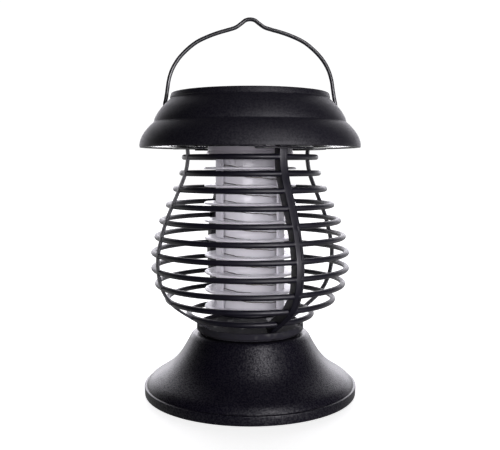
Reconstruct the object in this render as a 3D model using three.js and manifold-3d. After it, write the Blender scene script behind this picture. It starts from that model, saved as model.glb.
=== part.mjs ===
// Solar bug-zapper lantern: a bell-shaped stand, a ringed cage, a hanging electric core under a
// two-tier hat, and a wire bail. Millimetres, +Z up, origin at the centre of the underside,
// front = -Y, the bail's pivots on the X axis.
import * as THREE from 'three';
import { mergeVertices } from 'three/addons/utils/BufferGeometryUtils.js';
import Module from 'manifold-3d';

const wasm = await Module();
wasm.setup();

// ---------------------------------------------------------------- driving dimensions
const GAP = 0.3;                 // air between pieces that touch
const RAD = Math.PI / 180;
const FINE = 32;                 // segments round the large turned shells
const COARSE = 16;               // segments round the small turned pieces

// stand
const FOOT_T = 0.8;              // how far the cover stands off the table
const COVER_R = 64.2;            // outside of the cover's upstanding lip
const COVER_LIP_Z = 6.4;
const COVER_T = 1.8;
const STAND_TOP_Z = 37.7;        // flat top of the bell, where the cage tray sits
const SOCKET_R = 24.2;           // socket in the bell's top
const SOCKET_FLOOR_Z = 29.0;
const STAND_SCREW_R = 42;        // pitch radius of the cover's screws
const FOOT_PITCH_R = 52;

// cage
const TRAY_R = 32.4;             // outside of the collar round the catch tray
const TRAY_TOP_Z = 43.0;
const TRAY_FLOOR_Z = 41.5;
const SPIGOT_R = 23.7;
const RING_COUNT = 11;
const RING_TOP_Z = 143.1;        // centre height of the top ring
const RING_PITCH = 9.39;
const RING_SECTION_R = 1.6;
const RING_SEGMENTS = 24;
const RIB_COUNT = 4;
const RIB_AZIMUTH = 27;          // first rib, degrees from the front towards +X
const RIB_W = [5.0, 3.4];        // ribs on the cage's joint line, and the ribs between them
const RIB_OUT = 1.6;             // rib faces, measured from the rings' centre line
const RIB_IN = 0.5;
const TAB_R = [38.6, 46];        // ledge tab on each rib's top
const TAB_Z = [147.6, 148.5];
const TAB_HALF_ANGLE = 23;

// hat
const BRIM_Z = 148.7;
const BRIM_R = 65.6;
const CREASE_Z = 164.4;          // where the upper tier meets the lower one
const RIM_TOP_Z = 180.6;
const RIM_R = 47.3;
const RECESS_R = 44.6;           // recess for the solar panel
const LEDGE_Z = 177.4;
const HAT_FLOOR_Z = [150.5, 152.3];
const HAT_FLOOR_R = 62.8;
const HAT_FLOOR_STEP = [48.5, 149.3];   // radius outside which the floor's underside is lower, and its height
const HAT_SCREW_R = 50;
const PANEL_HALF = 29;           // half the side of the square solar panel

// electric core
const CORE_FLANGE_R = 27.5;
const CORE_FLANGE_T = 1.6;
const CORE_FLANGE_COUNT = 9;
const CORE_FLANGE_SEGMENTS = 24;
const CORE_FLANGE_Z = 53.4;      // centre height of the lowest flange
const CORE_PITCH = 10.4;
const CORE_INNER_R = 20.2;
const CORE_PILLAR_R = 21.6;
const PILLAR_COUNT = 3;
const PILLAR_HALF_ANGLE = 10;
const CAP_R = 25.8;
const CAP_Z = [142.6, 150.2];
const DIFFUSER_R = 17.6;
const HV_WIRE_R = 0.4;
const HV_COIL_R = 19.2;

// bail
const WIRE_R = 1.2;
const PIVOT_Z = 172.0;
const PIVOT_X = 50.9;            // where each leg turns inwards
const PIVOT_END_X = 44.4;
const SLOT = { x: [48.3, 53.2], halfY: 11 };

// ---------------------------------------------------------------- geometry helpers
const v2 = (r, z) => new THREE.Vector2(r, z);

/** A three.js geometry as a manifold solid: shared vertices merged, collapsed triangles dropped. */
function solid(geometry) {
  const bare = geometry.clone();
  bare.deleteAttribute('normal');
  bare.deleteAttribute('uv');
  const merged = mergeVertices(bare, 1e-4);
  const index = merged.index.array;
  const kept = [];
  for (let i = 0; i < index.length; i += 3) {
    const [a, b, c] = [index[i], index[i + 1], index[i + 2]];
    if (a !== b && b !== c && c !== a) kept.push(a, b, c);
  }
  return new wasm.Manifold(new wasm.Mesh({
    numProp: 3,
    vertProperties: new Float32Array(merged.attributes.position.array),
    triVerts: new Uint32Array(kept),
  }));
}

function geometryOf(body) {
  const { vertProperties, triVerts } = body.getMesh();
  const geometry = new THREE.BufferGeometry();
  geometry.setAttribute('position', new THREE.BufferAttribute(new Float32Array(vertProperties), 3));
  geometry.setIndex(new THREE.BufferAttribute(new Uint32Array(triVerts), 1));
  geometry.computeVertexNormals();
  return geometry;
}

const join = (first, ...rest) => geometryOf(rest.reduce((sum, g) => sum.add(solid(g)), solid(first)));
const cut = (first, ...rest) =>
  geometryOf(rest.reduce((left, g) => left.subtract(solid(g)), solid(first)));

/** Turned piece about Z from [radius, height] points listed anticlockwise, outer side going up. */
function turned(points, segments = COARSE) {
  const profile = points.map(([r, z]) => v2(r, z));
  const onAxis = points[0][0] === 0 && points[points.length - 1][0] === 0;
  if (!onAxis) profile.push(profile[0].clone());
  return new THREE.LatheGeometry(profile, segments).rotateX(Math.PI / 2);
}

/** Flat washer, disc or tube between two radii and two heights. */
function washer(innerR, outerR, z0, z1, segments = COARSE) {
  return turned([[innerR, z0], [outerR, z0], [outerR, z1], [innerR, z1]], segments);
}

function rod(radius, z0, z1, segments = 12) {
  return new THREE.CylinderGeometry(radius, radius, z1 - z0, segments)
    .rotateX(Math.PI / 2).translate(0, 0, (z0 + z1) / 2);
}

function block(x, y, z) {
  return new THREE.BoxGeometry(x[1] - x[0], y[1] - y[0], z[1] - z[0])
    .translate((x[0] + x[1]) / 2, (y[0] + y[1]) / 2, (z[0] + z[1]) / 2);
}

/** Point at an azimuth measured from the front (-Y) towards +X. */
function polar(radius, azimuth) {
  return [radius * Math.sin(azimuth * RAD), -radius * Math.cos(azimuth * RAD)];
}

const at = (geometry, radius, azimuth) => geometry.translate(...polar(radius, azimuth), 0);
/** Turns a piece built on +X so that it stands at an azimuth. */
const toAzimuth = (geometry, azimuth) => geometry.rotateZ((azimuth - 90) * RAD);

/** Sector of a ring on +X, half as wide as halfAngle on each side. */
function sector(innerR, outerR, halfAngle, z0, z1) {
  const shape = new THREE.Shape();
  shape.absarc(0, 0, outerR, -halfAngle * RAD, halfAngle * RAD, false);
  shape.absarc(0, 0, innerR, halfAngle * RAD, -halfAngle * RAD, true);
  shape.closePath();
  const depth = z1 - z0;
  return new THREE.ExtrudeGeometry(shape, { depth, bevelEnabled: false, curveSegments: 3 })
    .translate(0, 0, z0);
}

function roundSection(radius, sides) {
  const points = [];
  for (let i = 0; i < sides; i += 1) {
    const a = (i * 2 * Math.PI) / sides;
    points.push(v2(radius * Math.cos(a), radius * Math.sin(a)));
  }
  return new THREE.Shape(points);
}

function wireAlong(path, radius, steps, sides) {
  return new THREE.ExtrudeGeometry(roundSection(radius, sides), {
    steps, extrudePath: path, bevelEnabled: false,
  });
}

// ---------------------------------------------------------------- materials
const finish = (color, roughness, metalness = 0, more = {}) =>
  new THREE.MeshStandardMaterial({ color, roughness, metalness, ...more });
const BLACK = finish(0x1b1a1f, 0.42);
const BLACK_SMOOTH = finish(0x151418, 0.3);
const RUBBER = finish(0x101012, 0.85);
const STEEL = finish(0x9a9c9f, 0.35, 1);
const WIRE_BLACK = finish(0x161618, 0.4, 0.2);
const FROST = finish(0xe6e3ec, 0.45, 0, { transparent: true, opacity: 0.85 });
const WHITE = finish(0xeeeef2, 0.5);
const GRID = finish(0x6d6a72, 0.3, 1);
const CELL = finish(0x10183a, 0.18, 0.2);
const BOARD = finish(0x1d5a34, 0.5);
const BATTERY = finish(0x2c7d56, 0.4);
const BROWN = finish(0x6b4a22, 0.55);

const lantern = new THREE.Group();
function add(name, geometry, material) {
  const mesh = new THREE.Mesh(geometry, material);
  mesh.name = name;
  lantern.add(mesh);
}

// ---------------------------------------------------------------- stand
const STAND_SCREW_AZIMUTHS = [0, 120, 240];
const FOOT_AZIMUTHS = [45, 135, 225, 315];

function standShell() {
  const outside = [
    [61.6, 2.9], [61.6, 6.8], [62.4, 7.0], [62.2, 8.0], [60.3, 9.8], [56.3, 12.5], [48.3, 18.0],
    [45.2, 21.2], [41.2, 26.6], [37.3, 33.0], [35.5, 36.1], [34.4, 37.2], [33.0, STAND_TOP_Z],
  ];
  const inside = [
    [26.4, 27.0], [26.4, 35.5], [32.8, 35.5], [38.4, 26.4], [42.3, 21.0], [45.6, 17.4],
    [53.4, 11.8], [58.6, 7.8], [59.3, 6.4], [59.3, 2.9],
  ];
  const bell = turned([
    [0, 27.0], ...inside, ...outside,
    [SOCKET_R, STAND_TOP_Z], [SOCKET_R, SOCKET_FLOOR_Z], [0, SOCKET_FLOOR_Z],
  ], FINE);
  const bosses = STAND_SCREW_AZIMUTHS.map((a) => at(rod(3, 2.9, 19.8, 10), STAND_SCREW_R, a));
  const bores = STAND_SCREW_AZIMUTHS.map((a) => at(rod(1.5, 2, 12, 8), STAND_SCREW_R, a));
  return cut(join(bell, ...bosses), ...bores);
}

function standCover() {
  const top = FOOT_T + COVER_T;
  const dish = turned([
    [0, FOOT_T], [62.6, FOOT_T], [63.8, 1.4], [COVER_R, 2.3], [COVER_R, 5.7], [63.7, COVER_LIP_Z],
    [62.4, COVER_LIP_Z], [62.0, 6.0], [62.0, top], [0, top],
  ], FINE);
  const holes = STAND_SCREW_AZIMUTHS.flatMap((a) => [
    at(rod(1.6, 0, 4, 8), STAND_SCREW_R, a),
    at(rod(3.3, 0, FOOT_T + 1.2, 12), STAND_SCREW_R, a),
  ]);
  const recesses = FOOT_AZIMUTHS.map((a) => at(rod(6, 0, FOOT_T + 0.6, 16), FOOT_PITCH_R, a));
  return cut(dish, ...holes, ...recesses);
}

/** Pan-head screw pointing up, with its head's underside at z and a cross recess in the head. */
function screw(headZ, length) {
  const headR = 2.8;
  const shankR = 1.15;
  const slots = [[headR * 0.5, 0.35], [0.35, headR * 0.5]].map(([x, y]) =>
    block([-x, x], [-y, y], [headZ - 2, headZ - 0.5]));
  const body = turned([
    [0, headZ - 1], [headR * 0.8, headZ - 1], [headR, headZ - 0.5], [headR, headZ],
    [shankR, headZ], [shankR, headZ + length - 1], [0, headZ + length],
  ], 8);
  return cut(body, ...slots);
}

add('stand_shell', standShell(), BLACK);
add('stand_cover', standCover(), BLACK);
STAND_SCREW_AZIMUTHS.forEach((azimuth, i) => {
  add(`stand_screw_${i + 1}`, at(screw(FOOT_T + 1, 9), STAND_SCREW_R, azimuth), STEEL);
});
FOOT_AZIMUTHS.forEach((azimuth, i) => {
  const pad = turned([[0, 0], [5.2, 0], [5.5, 0.3], [5.5, 1.1], [0, 1.1]], 12);
  add(`rubber_foot_${i + 1}`, at(pad, FOOT_PITCH_R, azimuth), RUBBER);
});

// ---------------------------------------------------------------- cage
function catchTray() {
  return turned([
    [0, 39.8], [21.7, 39.8], [21.7, 29.6], [SPIGOT_R, 29.6], [SPIGOT_R, STAND_TOP_Z + GAP],
    [30.7, STAND_TOP_Z + GAP], [31.9, 38.4], [TRAY_R, 39.0], [TRAY_R, 42.4], [32.0, TRAY_TOP_Z],
    [31.0, TRAY_TOP_Z], [30.6, 42.6], [30.6, TRAY_FLOOR_Z], [0, TRAY_FLOOR_Z],
  ], FINE);
}

/** Vase line of the cage as [radius, height]: rings and ribs are both centred on it. */
const cageLine = new THREE.SplineCurve([
  v2(27.4, 43.4), v2(30.8, 45.2), v2(37.2, 49.2), v2(49.9, 58.6), v2(55.8, 68.0), v2(58.0, 78.5),
  v2(57.7, 88.0), v2(53.1, 105.4), v2(44.7, 124.1), v2(40.4, 135.0), v2(39.2, 143.1), v2(39.6, 150.2),
]);

function cageRadiusAt(z) {
  let low = 0;
  let high = 1;
  for (let i = 0; i < 40; i += 1) {
    const middle = (low + high) / 2;
    if (cageLine.getPoint(middle).y < z) low = middle; else high = middle;
  }
  return cageLine.getPoint(low).x;
}

/** Rib strip at an azimuth, between two offsets from the cage line, width wide. */
function ribStrip(azimuth, inward, outward, width, steps = 18) {
  const outer = [];
  const inner = [];
  for (let i = 0; i <= steps; i += 1) {
    const point = cageLine.getPoint(i / steps);
    const along = cageLine.getTangent(i / steps);
    const normal = v2(along.y, -along.x);
    outer.push(point.clone().addScaledVector(normal, outward));
    inner.unshift(point.clone().addScaledVector(normal, -inward));
  }
  const strip = new THREE.ExtrudeGeometry(new THREE.Shape([...outer, ...inner]), {
    depth: width, bevelEnabled: false,
  });
  strip.translate(0, 0, -width / 2).rotateX(Math.PI / 2);
  return toAzimuth(strip, azimuth);
}

const ribAzimuth = (i) => RIB_AZIMUTH + (i * 360) / RIB_COUNT;
const ribWidth = (i) => RIB_W[i % 2];

function cageRing(z) {
  const radius = cageRadiusAt(z);
  const sides = 6;
  const section = [];
  for (let i = 0; i < sides; i += 1) {
    const a = (i * 2 * Math.PI) / sides;
    section.push([radius + RING_SECTION_R * Math.cos(a), z + RING_SECTION_R * Math.sin(a)]);
  }
  const notches = [];
  for (let i = 0; i < RIB_COUNT; i += 1) {
    notches.push(ribStrip(ribAzimuth(i), RIB_IN + GAP, RIB_OUT + 1, ribWidth(i) + 2 * GAP));
  }
  return cut(turned(section, RING_SEGMENTS), ...notches);
}

function cageRib(i) {
  const tab = sector(TAB_R[0], TAB_R[1], TAB_HALF_ANGLE, TAB_Z[0], TAB_Z[1]);
  return join(ribStrip(ribAzimuth(i), RIB_IN, RIB_OUT, ribWidth(i)), toAzimuth(tab, ribAzimuth(i)));
}

add('catch_tray', catchTray(), BLACK_SMOOTH);
for (let i = 0; i < RING_COUNT; i += 1) {
  const number = String(i + 1).padStart(2, '0');
  add(`cage_ring_${number}`, cageRing(RING_TOP_Z - i * RING_PITCH), BLACK_SMOOTH);
}
for (let i = 0; i < RIB_COUNT; i += 1) {
  add(`cage_rib_${i + 1}`, cageRib(i), BLACK_SMOOTH);
}

// ---------------------------------------------------------------- hat
const HAT_SCREW_AZIMUTHS = [45, 135, 225, 315];
const BUTTON_Y = 44;

function hatShell() {
  const outside = [
    [65.1, BRIM_Z], [BRIM_R, 149.2], [BRIM_R, 150.6], [65.1, 152.8], [64.1, 155.1],
    [60.9, 159.9], [57.5, 163.4], [56.4, 164.0], [56.9, CREASE_Z], [56.4, 165.9],
    [54.4, 169.6], [50.6, 174.2], [47.2, 177.3], [RIM_R, 177.9], [46.7, 179.7], [45.8, RIM_TOP_Z],
  ];
  const inside = [
    [RECESS_R, RIM_TOP_Z], [RECESS_R, LEDGE_Z], [41.5, LEDGE_Z], [41.5, 175.2], [47.2, 175.2],
    [51.2, 171.0], [54.2, 165.6], [54.6, 162.6], [59.6, 157.9], [63.2, 151.6], [63.3, BRIM_Z],
  ];
  const shell = turned([...outside, ...inside], FINE);
  const bosses = HAT_SCREW_AZIMUTHS.map((a) =>
    at(rod(3, HAT_FLOOR_Z[1] + GAP, 170.2, 10), HAT_SCREW_R, a));
  const bores = HAT_SCREW_AZIMUTHS.map((a) =>
    at(rod(1.5, HAT_FLOOR_Z[1], HAT_FLOOR_Z[1] + 10, 8), HAT_SCREW_R, a));
  const slots = [-1, 1].map((side) => {
    const x = SLOT.x.map((value) => side * value).sort((a, b) => a - b);
    return block(x, [-SLOT.halfY, SLOT.halfY], [164, 182]);
  });
  return cut(join(shell, ...bosses), ...bores, ...slots);
}

function hatFloor() {
  const [bottom, top] = HAT_FLOOR_Z;
  const [stepR, stepZ] = HAT_FLOOR_STEP;
  const plate = turned([
    [0, bottom], [36.2, bottom], [36.2, 148.9], [37.6, 148.9], [37.6, bottom],
    [stepR, bottom], [stepR, stepZ], [HAT_FLOOR_R, stepZ], [HAT_FLOOR_R, top], [0, top],
  ], FINE);
  const holes = HAT_SCREW_AZIMUTHS.flatMap((a) => [
    at(rod(1.6, 140, 160, 8), HAT_SCREW_R, a),
    at(rod(3.3, 140, bottom + 1.2, 12), HAT_SCREW_R, a),
  ]);
  const button = rod(3.7, 140, 160, 16).translate(0, BUTTON_Y, 0);
  const lampLead = rod(5, 149, 160, 16);
  return cut(plate, ...holes, button, lampLead);
}

/** Disc that fills the recess, with a raised square frame left round the panel. */
function panelBezel() {
  const half = PANEL_HALF + GAP;
  const disc = rod(RECESS_R - 0.4, LEDGE_Z + GAP, LEDGE_Z + 2.5, FINE);
  return cut(disc, block([-half, half], [-half, half], [LEDGE_Z + 1.1, LEDGE_Z + 5]));
}

function pivotLug(side) {
  const x = [side * 43.4, side * 46.7].sort((a, b) => a - b);
  const body = block(x, [-3.5, 3.5], [166, 173.9]);
  const hole = rod(WIRE_R + 0.35, -10, 10, 10).rotateY(Math.PI / 2).translate(side * 46, 0, PIVOT_Z);
  return cut(body, hole);
}

add('hat_shell', hatShell(), BLACK);
add('hat_floor', hatFloor(), BLACK_SMOOTH);
add('panel_bezel', panelBezel(), BLACK_SMOOTH);
add('solar_panel', block(
  [-PANEL_HALF, PANEL_HALF], [-PANEL_HALF, PANEL_HALF], [LEDGE_Z + 1.4, LEDGE_Z + 3.0]), CELL);
add('bail_lug_left', pivotLug(-1), BLACK_SMOOTH);
add('bail_lug_right', pivotLug(1), BLACK_SMOOTH);
HAT_SCREW_AZIMUTHS.forEach((azimuth, i) => {
  add(`hat_screw_${i + 1}`, at(screw(HAT_FLOOR_Z[0] + 0.9, 9), HAT_SCREW_R, azimuth), STEEL);
});

// ---------------------------------------------------------------- electronics in the hat
const FLOOR_TOP = HAT_FLOOR_Z[1];

function batteryHolder() {
  const outer = block([-29, 29], [-38.5, -21.5], [FLOOR_TOP + GAP, 164]);
  const bay = block([-26.2, 26.2], [-37.3, -22.7], [FLOOR_TOP + 1.8, 170]);
  return cut(outer, bay);
}

function batteryCell() {
  const cell = turned([
    [0, -25.2], [6.6, -25.2], [7.0, -24.8], [7.0, 23.2], [6.4, 23.8], [2.6, 23.8], [2.6, 25.0], [0, 25.0],
  ], 20);
  return cell.rotateY(Math.PI / 2).translate(0, -30, FLOOR_TOP + 2.1 + 7.0);
}

const BOARD_Z = [FLOOR_TOP + 3.4, FLOOR_TOP + 5.0];

function circuitBoard() {
  const board = block([-26, 26], [-14, 26], BOARD_Z);
  const posts = [[-23, -11], [23, -11], [-23, 23], [23, 23]].map(([x, y]) =>
    rod(2.2, FLOOR_TOP + GAP, BOARD_Z[0] + 0.4, 10).translate(x, y, 0));
  return join(board, ...posts);
}

function transformer() {
  const onBoard = BOARD_Z[1] + GAP;
  const core = block([8, 22], [-6, 6], [onBoard, onBoard + 11]);
  const winding = rod(8.4, onBoard + 2.4, onBoard + 8.6, 16).translate(15, 0, 0);
  return join(core, winding);
}

add('battery_holder', batteryHolder(), BLACK_SMOOTH);
add('battery_cell', batteryCell(), BATTERY);
add('circuit_board', circuitBoard(), BOARD);
add('hv_transformer', transformer(), BROWN);
add('hv_capacitor', turned([[0, 0], [4.6, 0], [5, 0.5], [5, 10.5], [4.6, 11], [0, 11]], 16)
  .translate(-14, 2, BOARD_Z[1] + GAP), BATTERY);
add('power_switch', block([-4.5, 4.5], [BUTTON_Y - 4.5, BUTTON_Y + 4.5],
  [FLOOR_TOP + 4.6, FLOOR_TOP + 10]), BLACK_SMOOTH);
add('power_button', turned([
  [0, 149.2], [2.8, 149.2], [3.3, 149.6], [3.3, FLOOR_TOP + 0.5], [4.6, FLOOR_TOP + 0.5],
  [4.6, FLOOR_TOP + 1.4], [1.6, FLOOR_TOP + 1.4], [1.6, FLOOR_TOP + 2.6], [0, FLOOR_TOP + 2.6],
], 16).translate(0, BUTTON_Y, 0), RUBBER);

// ---------------------------------------------------------------- electric core
const pillarAzimuth = (i) => 60 + (i * 360) / PILLAR_COUNT;

/** Three pillars between two hoops; the insects reach the grid through the windows. */
function coreFrame() {
  const bottom = CORE_FLANGE_Z - 1;
  const top = CAP_Z[0] - GAP;
  const hoops = [bottom, top - 1.2].map((z) => washer(CORE_INNER_R, CORE_PILLAR_R, z, z + 1.2));
  const pillars = [];
  for (let i = 0; i < PILLAR_COUNT; i += 1) {
    const pillar = sector(CORE_INNER_R, CORE_PILLAR_R, PILLAR_HALF_ANGLE, bottom, top);
    pillars.push(toAzimuth(pillar, pillarAzimuth(i)));
  }
  return join(...hoops, ...pillars);
}

function coreFlange(z) {
  const half = CORE_FLANGE_T / 2;
  return washer(CORE_PILLAR_R + GAP, CORE_FLANGE_R, z - half, z + half, CORE_FLANGE_SEGMENTS);
}

class Helix extends THREE.Curve {
  constructor(radius, z0, turns, pitch, startAngle) {
    super();
    Object.assign(this, { radius, z0, turns, pitch, startAngle });
  }

  getPoint(t, target = new THREE.Vector3()) {
    const angle = this.startAngle + t * this.turns * 2 * Math.PI;
    const x = this.radius * Math.cos(angle);
    const y = this.radius * Math.sin(angle);
    return target.set(x, y, this.z0 - t * this.turns * this.pitch);
  }
}

/** Bare high-voltage wire wound down the core; the two wires sit half a pitch apart. */
function gridWire(startAngle) {
  const turns = CORE_FLANGE_COUNT - 1;
  const path = new Helix(HV_COIL_R, 139.5, turns, CORE_PITCH, startAngle);
  return wireAlong(path, HV_WIRE_R, turns * 12, 4);
}

function coreTopCap() {
  const [bottom, top] = CAP_Z;
  return turned([
    [DIFFUSER_R + GAP, bottom], [CAP_R, bottom], [CAP_R, 147.2], [CAP_R - 0.6, 147.6],
    [CAP_R - 0.6, top], [6, top], [6, top - 2], [DIFFUSER_R + GAP, top - 2],
  ], FINE);
}

function coreBase() {
  return turned([
    [0, 49.6], [22.5, 49.6], [24.6, 50.2], [25.0, 50.8], [25.0, 52.1], [20.2, 52.1], [20.2, 51.6],
    [0, 51.6],
  ], FINE);
}

function ledStrip() {
  const tape = block([-3.6, 3.6], [-2.1, -1.6], [60, 138]);
  const chips = [];
  for (let z = 66; z <= 132; z += 11) {
    chips.push(block([-2.5, 2.5], [-3.6, -2.0], [z - 2.5, z + 2.5]));
  }
  return join(tape, ...chips);
}

add('core_frame', coreFrame(), FROST);
for (let i = 0; i < CORE_FLANGE_COUNT; i += 1) {
  const z = CORE_FLANGE_Z + (CORE_FLANGE_COUNT - 1 - i) * CORE_PITCH;
  add(`core_flange_${i + 1}`, coreFlange(z), FROST);
}
add('diffuser_tube', washer(DIFFUSER_R - 1.4, DIFFUSER_R, 51.9, CAP_Z[1] - 2 - GAP), WHITE);
add('grid_wire_live', gridWire(0), GRID);
add('grid_wire_ground', gridWire(Math.PI), GRID);
add('core_top_cap', coreTopCap(), FROST);
add('core_base', coreBase(), BLACK_SMOOTH);
add('led_board', block([-5, 5], [-1.3, 0.3], [51.9, 147.4]), WHITE);
add('led_strip', ledStrip(), WHITE);

// ---------------------------------------------------------------- bail
function bail() {
  const right = [
    [PIVOT_END_X, PIVOT_Z], [47, PIVOT_Z], [49.6, PIVOT_Z + 0.1], [PIVOT_X - 0.1, PIVOT_Z + 1.4],
    [50.7, 174.6], [50.2, 176.6], [49.3, 182.4], [48.4, 188.2], [46.7, 193.9], [43.6, 199.6],
    [38.9, 205.1], [32.0, 210.7], [24.8, 214.2], [18.0, 216.6], [12.6, 218.1], [8.4, 219.5],
    [5.2, 221.7], [2.6, 223.7],
  ].map(([x, z]) => new THREE.Vector3(x, 0, z));
  const top = new THREE.Vector3(0, 0, 224.2);
  const left = right.map((p) => new THREE.Vector3(-p.x, 0, p.z));
  const path = new THREE.CatmullRomCurve3([...right, top, ...left.reverse()], false, 'centripetal');
  return wireAlong(path, WIRE_R, 60, 6);
}

add('bail', bail(), WIRE_BLACK);

export default lantern;
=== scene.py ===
"""Solar bug-zapper lantern: the looks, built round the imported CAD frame.

Metres, +Z up, front = -Y. Outlines and sizes are written in millimetres and scaled once, where a
mesh is made. Places come from the boxes of the CAD nodes.
"""
from math import atan2, cos, pi, radians, sin, tan

import bmesh
import bpy
from mathutils import Matrix, Vector

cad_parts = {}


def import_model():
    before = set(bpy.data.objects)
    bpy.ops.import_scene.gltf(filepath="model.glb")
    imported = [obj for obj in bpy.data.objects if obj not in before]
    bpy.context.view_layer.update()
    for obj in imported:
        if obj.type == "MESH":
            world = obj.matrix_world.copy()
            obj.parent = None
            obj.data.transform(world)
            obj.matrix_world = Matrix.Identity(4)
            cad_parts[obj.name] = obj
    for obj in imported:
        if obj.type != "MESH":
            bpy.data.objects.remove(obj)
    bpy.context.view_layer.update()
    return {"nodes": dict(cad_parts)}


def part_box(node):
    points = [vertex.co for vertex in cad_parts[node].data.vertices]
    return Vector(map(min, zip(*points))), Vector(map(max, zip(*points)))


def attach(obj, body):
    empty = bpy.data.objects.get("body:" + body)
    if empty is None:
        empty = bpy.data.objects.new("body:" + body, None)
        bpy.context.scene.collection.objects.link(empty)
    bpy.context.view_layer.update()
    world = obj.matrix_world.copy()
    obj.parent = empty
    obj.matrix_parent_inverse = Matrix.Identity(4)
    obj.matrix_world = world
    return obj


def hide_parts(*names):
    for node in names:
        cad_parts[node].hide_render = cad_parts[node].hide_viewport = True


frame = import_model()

MM = 0.001
ROUND = 160          # segments round the big turned pieces
SMALL_ROUND = 48     # segments round screws, pads, holes and the button
SHARP = radians(35)  # edges that turn more than this stay sharp


# ---------------------------------------------------------------- where the CAD puts things, in mm
def low(node):
    """Lowest corner of a CAD node's box."""
    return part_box(node)[0] / MM


def high(node):
    """Highest corner of a CAD node's box."""
    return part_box(node)[1] / MM


def middle(node):
    return (low(node) + high(node)) / 2


# ---------------------------------------------------------------- outlines
def rounded(points, steps=5):
    """Closed outline of (r, z) points; a third number rounds that corner to that radius."""
    outline = []
    for i, point in enumerate(points):
        here = Vector(point[:2])
        if len(point) < 3:
            outline.append(here)
            continue
        before = Vector(points[i - 1][:2]) - here
        after = Vector(points[(i + 1) % len(points)][:2]) - here
        half = before.angle(after) / 2
        reach = min(point[2] / tan(half), 0.48 * before.length, 0.48 * after.length)
        bow = reach * tan(half)
        centre = here + (before.normalized() + after.normalized()).normalized() * (bow / sin(half))
        start = here + before.normalized() * reach - centre
        end = here + after.normalized() * reach - centre
        first = atan2(start.y, start.x)
        turn = (atan2(end.y, end.x) - first + pi) % (2 * pi) - pi
        for k in range(steps + 1):
            a = first + turn * k / steps
            outline.append(centre + Vector((cos(a), sin(a))) * bow)
    return outline


def spline(points, per_span=8):
    """Smooth centripetal Catmull-Rom line through points of any dimension, the ends included."""
    knots = [Vector(p) for p in points]
    ends = [2 * knots[0] - knots[1]], [2 * knots[-1] - knots[-2]]
    knots = ends[0] + knots + ends[1]
    line = []
    for p0, p1, p2, p3 in zip(knots, knots[1:], knots[2:], knots[3:]):
        t1 = (p1 - p0).length ** 0.5
        t2 = t1 + (p2 - p1).length ** 0.5
        t3 = t2 + (p3 - p2).length ** 0.5
        for k in range(per_span):
            t = t1 + (t2 - t1) * k / per_span
            a1 = p0 * ((t1 - t) / t1) + p1 * (t / t1)
            a2 = p1 * ((t2 - t) / (t2 - t1)) + p2 * ((t - t1) / (t2 - t1))
            a3 = p2 * ((t3 - t) / (t3 - t2)) + p3 * ((t - t2) / (t3 - t2))
            b1 = a1 * ((t2 - t) / t2) + a2 * (t / t2)
            b2 = a2 * ((t3 - t) / (t3 - t1)) + a3 * ((t - t1) / (t3 - t1))
            line.append(b1 * ((t2 - t) / (t2 - t1)) + b2 * ((t - t1) / (t2 - t1)))
    return line + [knots[-2]]


def circle(radius, sides):
    """Round section of a wire, as (u, v) points."""
    return [Vector((radius * cos(2 * pi * i / sides), radius * sin(2 * pi * i / sides)))
            for i in range(sides)]


def vectors(*points):
    """Points as a list of vectors, so that they join on to an outline."""
    return [Vector(point) for point in points]


def polar(radius, azimuth, z=0.0):
    """Point at an azimuth in degrees, measured from the front (-Y) towards +X."""
    return Vector((radius * sin(radians(azimuth)), -radius * cos(radians(azimuth)), z))


# ---------------------------------------------------------------- meshes
def piece_from(name, verts, faces):
    """Object from points in mm and faces, with its normals outward."""
    mesh = bpy.data.meshes.new(name)
    mesh.from_pydata([Vector(v) * MM for v in verts], [], faces)
    bm = bmesh.new()
    bm.from_mesh(mesh)
    bmesh.ops.recalc_face_normals(bm, faces=bm.faces)
    return linked(name, mesh, bm)


def linked(name, mesh, bm):
    """Object in the scene with the mesh that bm holds, smooth but for its sharp edges."""
    bm.to_mesh(mesh)
    bm.free()
    piece = bpy.data.objects.new(name, mesh)
    bpy.context.scene.collection.objects.link(piece)
    return smooth(piece)


def smooth(piece):
    """Smooth shading that breaks at sharp edges."""
    piece.data.shade_smooth()
    piece.data.set_sharp_from_angle(angle=SHARP)
    return piece


def turned(name, outline, segments=ROUND):
    """Body of revolution about Z from a closed outline of (r, z); points at r = 0 become poles."""
    verts, rows = [], []
    for r, z in outline:
        if r < 1e-6:
            rows.append([len(verts)] * segments)
            verts.append((0, 0, z))
        else:
            rows.append(range(len(verts), len(verts) + segments))
            verts += [(r * cos(2 * pi * i / segments), r * sin(2 * pi * i / segments), z)
                      for i in range(segments)]
    faces = []
    for a, b in zip(rows, rows[1:] + rows[:1]):
        for i in range(segments):
            j = (i + 1) % segments
            corners = list(dict.fromkeys((a[i], a[j], b[j], b[i])))
            if len(corners) > 2:
                faces.append(corners)
    return piece_from(name, verts, faces)


def rod(name, radius, z0, z1, segments=SMALL_ROUND):
    """Plain cylinder about Z between two heights: a tool that cuts a hole, or the floor."""
    return turned(name, vectors((0, z0), (radius, z0), (radius, z1), (0, z1)), segments)


def skin(name, sections):
    """Surface over a row of closed sections with equally many points, with end caps."""
    count = len(sections[0])
    verts = [point for section in sections for point in section]
    rows = [range(i * count, (i + 1) * count) for i in range(len(sections))]
    faces = []
    for a, b in zip(rows, rows[1:]):
        faces += [(a[i], a[(i + 1) % count], b[(i + 1) % count], b[i]) for i in range(count)]
    return piece_from(name, verts, faces + [list(rows[0]), list(rows[-1])])


def directions(path):
    """Unit tangent at each point of a path."""
    return [(b - a).normalized() for a, b in zip(path[:1] + path[:-1], path[1:] + path[-1:])]


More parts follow.
